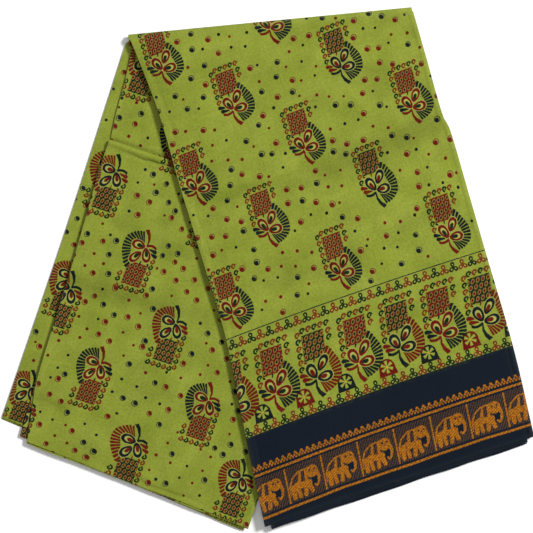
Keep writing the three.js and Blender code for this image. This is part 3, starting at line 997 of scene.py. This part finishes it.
def elephant(p):
    """A woven elephant that walks to the right, 42 mm long, from the lower left corner of its box."""
    head = round_spot(p, 33.6, 28.4, 7.3)
    trunk = [(38.4, 27.5, 2.4), (40.9, 20, 1.9), (39.8, 13.4, 1.5), (36.6, 9.8, 1.2), (34.4, 12.2, 1.1)]
    back = [(30, 34, 0.9), (17, 33.4, 0.9), (8, 27.4, 1.0), (4, 19, 1.2)]
    tail = [(4, 19, 1.1), (3.2, 8, 0.6)]
    bars = [[(18.6, 32, 1.2), (15.8, 19, 2.4)], [(25.8, 33, 1.4), (25, 18, 1.9)]]
    belly = [[(8, 16.6, 3.5), (28, 16.6, 3.5)], [(11, 19.6, 1.4), (15, 20.4, 1.8)]]
    legs = [[(8, 15, 3.0), (7.6, 4.6, 2.7)], [(13.6, 13, 2.2), (14.6, 4.4, 2.3)],
            [(23.6, 14, 2.6), (21.6, 4.6, 2.6)], [(27.6, 15, 2.7), (30.2, 6, 2.5)]]
    strokes = [line_through(p, *stops) for stops in (trunk, back, tail, *bars, *belly, *legs)]
    spots = least(*(round_spot(p, *spot) for spot in ((30.8, 30.4, 1.4), (36.8, 30.4, 1.3), (33.8, 28, 0.7))))
    return most(least(head, *strokes), -spots)


def border_weave(place):
    """The navy border. Along it are woven a chain, and between two lines a row of boxes with elephants
    on a hatched ground. Every figure has stepped edges, because it is woven and not printed."""
    x, y = parts_of(vector("SNAP", place, (THREAD, THREAD, THREAD)))
    twill = number("SINE", (x * 0.9 + y * 1.5) * 1.3)
    shade = between(0, (streaks(place, (0.35, 1.1), 2) - 0.5) * 2.4 + 0.5 + twill * 0.25, 1)
    orange = over((0.135, 0.033, 0.005), shade, (0.475, 0.180, 0.007))
    row = between(0, number("ROUND", (y - CHAIN_AT) / CHAIN_ROW), 2)
    pitch = choose(row > 0.5, CHAIN_PITCH, CHAIN_PITCH / 2)
    beside = size_of((x + (size_of(row - 1) < 0.5) * (pitch / 2) + pitch / 2) % pitch - pitch / 2)
    bead = distance(beside, y - CHAIN_AT - row * CHAIN_ROW)
    chain = bead - 1.3 - (row < 0.5) * 0.55
    lines = least(*(size_of(y - line) - 1.4 for line in WEAVE_LINES))
    up = WEAVE_BOX[1] - y
    along = (x - WEAVE_FIRST - up * 0.075) % WEAVE_PITCH
    within = most(WEAVE_BOX[0] - y, y - WEAVE_BOX[1])
    hatch = number("SINE", (x * 1.3 - up * 0.8) * 1.45) * 0.55 + (mottle(place, 0.55, 2) - 0.5) * 2.6 + 0.5
    base = over(NAVY, ink(within - 0.4) * between(0, hatch, 1), WEAVE_BROWN)
    gap = most(box(along, up, 31.5, 39.5, 10, 22.5), 28.4 - along + up * 0.12)
    base = over(base, ink(gap), NAVY)
    figures = most(least(elephant(flat_place(along, up)), along - 1.9), within)
    return over(base, ink(least(chain, lines, figures), 0.5), orange)


woven_border = woven_cloth("woven border", border_weave)


def front_leaf(level, inset, longer, top, wear, steps, rows, seed):
    """A front leaf's green panel with its turn over the cross fold, and its border down to the hem."""
    lines = edge_lines(FRONT, FRONT_ROWS, fold_line(inset), inset, longer)
    place = leaf_height(front_under(level), top)
    radius = FOLD_RADIUS - LEAF / 2 - (2 - level) * PITCH
    panel, border = Cloth(FRONT, front_print), Cloth(FRONT, front_print)
    two_tubes(panel, lines, np.linspace(LEG_START, BORDER_SHARE, rows[0]), place, wear, steps[0],
              uneven(seed, 1.5), plain_hem(seed), inset, np.linspace(-90, 75, 12), radius)
    two_tubes(border, lines, np.linspace(BORDER_SHARE, 1, rows[1]), place, wear, steps[1],
              uneven(seed, 1.5), plain_hem(seed))
    return panel, border


under_panel, under_border = front_leaf(
    1, UNDER_INSET, 5.5, plain_front_top(1), front_wear, ((16, 16, 16), (16, 4, 12)), (72, 32), 5)
under_panel.piece("under_panel", printed_cotton, "printed_cotton", "front_under_panel", (6 * 322, 480),
                  ["core_leaf"])
under_border.piece("under_border", woven_border, "woven_border", "front_under_border",
                   (6 * 325, 111), ["core_leaf"])

# ---- The front leg's top leaf ----
# The top six plies: the printed field down to the printed row of motifs, and the navy border with its
# figured band, woven in one with the field. Old creases run across the leg.
FRONT_CREASES = [
    ((352, 203), (120, 228), 9, 1.44), ((190, 330), (60, 341), 5.5, 0.84), ((15, 232), (140, 248), 8, -0.84),
    ((15, 214), (120, 222), 5, 0.96), ((260, 120), (330, 160), 7, 0.72), ((60, 150), (170, 128), 8, -0.6),
    ((180, 420), (320, 405), 7, 0.6), ((330, 300), (230, 322), 6, 0.84), ((20, 560), (330, 548), 9, 0.48),
    ((352, 199), (286, 203), 3.4, 1.44),
]


def front_top(flat, from_side):
    across, down = flat @ FRONT[0], flat @ FRONT[1]
    relief = relief_of(FRONT_CREASES, across, down) * smooth(0, 30, down - FOLD_RISE * across / STRIP_WIDTH)
    side_roll = 0.5 * bell(from_side - 3.5, 2.4) - 0.3 * bell(from_side - 9, 2.6)
    slack = wander(down + 0.1 * across, (0.28, 91, 0.15), (0.14, 43, 0.4)) * smooth(0, 30, from_side)
    slack += wander(across - 0.25 * down, (0.25, 120, 0.3), (0.12, 53, 0.8)) * smooth(0, 40, from_side)
    return plain_front_top(2)(flat, from_side) + relief + side_roll * smooth(10, 40, down) + slack


top_panel, top_border = front_leaf(
    2, (0, 0), 0, front_top, with_crease_shade(front_wear, FRONT, FRONT_CREASES), ((16, 3, 16), (16, 3, 16)),
    (143, 32), 6)
top_panel.piece("top_panel", printed_cotton, "printed_cotton", "front_panel", (6 * 338, 490),
                ["under_panel"])
top_border.piece("top_border", woven_border, "woven_border", "front_border", (6 * 342, 108),
                 ["under_border"])

# ---- The studio ----
# A plain pale floor, soft light from above and from the upper right, and a camera straight above.
FLOOR_SIZE = 6
bpy.ops.mesh.primitive_plane_add(size=FLOOR_SIZE, location=(0, 0, -0.0003))
floor = bpy.context.active_object
floor.name = "floor"
pale = bpy.data.materials.new("pale floor")
pale.use_nodes = True
give(pale.node_tree.nodes["Principled BSDF"], {"Base Color": (0.93, 0.93, 0.93, 1), "Roughness": 0.9})
floor.data.materials.append(pale)
floor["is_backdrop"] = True

world = bpy.data.worlds.new("studio")
bpy.context.scene.world = world
world.use_nodes = True
give(world.node_tree.nodes["Background"], {"Color": (1, 1, 1, 1), "Strength": 0.27})


def soft_light(name, place, size, power):
    """A square area light that faces the middle of the saree."""
    data = bpy.data.lights.new(name, "AREA")
    data.shape, data.size, data.energy = "SQUARE", size, power
    light = in_scene(name, data)
    light.location = place
    light.rotation_euler = (-light.location).to_track_quat("-Z", "Y").to_euler()


soft_light("key", (3.0, 1.9, 4.0), 1.1, 315)
soft_light("overhead", (-0.2, 0.1, 3.3), 1.8, 22)

# The camera's frame is 0.64 m wide at the cloth's middle height.
CAMERA_HEIGHT, FRAME_WIDTH, CLOTH_HEIGHT = 3.0, 0.6396, 0.008
camera_data = bpy.data.cameras.new("camera")
camera_data.lens = camera_data.sensor_width * (CAMERA_HEIGHT - CLOTH_HEIGHT) / FRAME_WIDTH
camera = in_scene("camera", camera_data)
camera.location = (-0.00144, 0.0024, CAMERA_HEIGHT)
bpy.context.scene.camera = camera
bpy.context.scene.view_settings.view_transform = "Standard"

({"cad": [list(corner) for corner in cad_box],
           "visual": [list(corner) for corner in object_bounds()]})
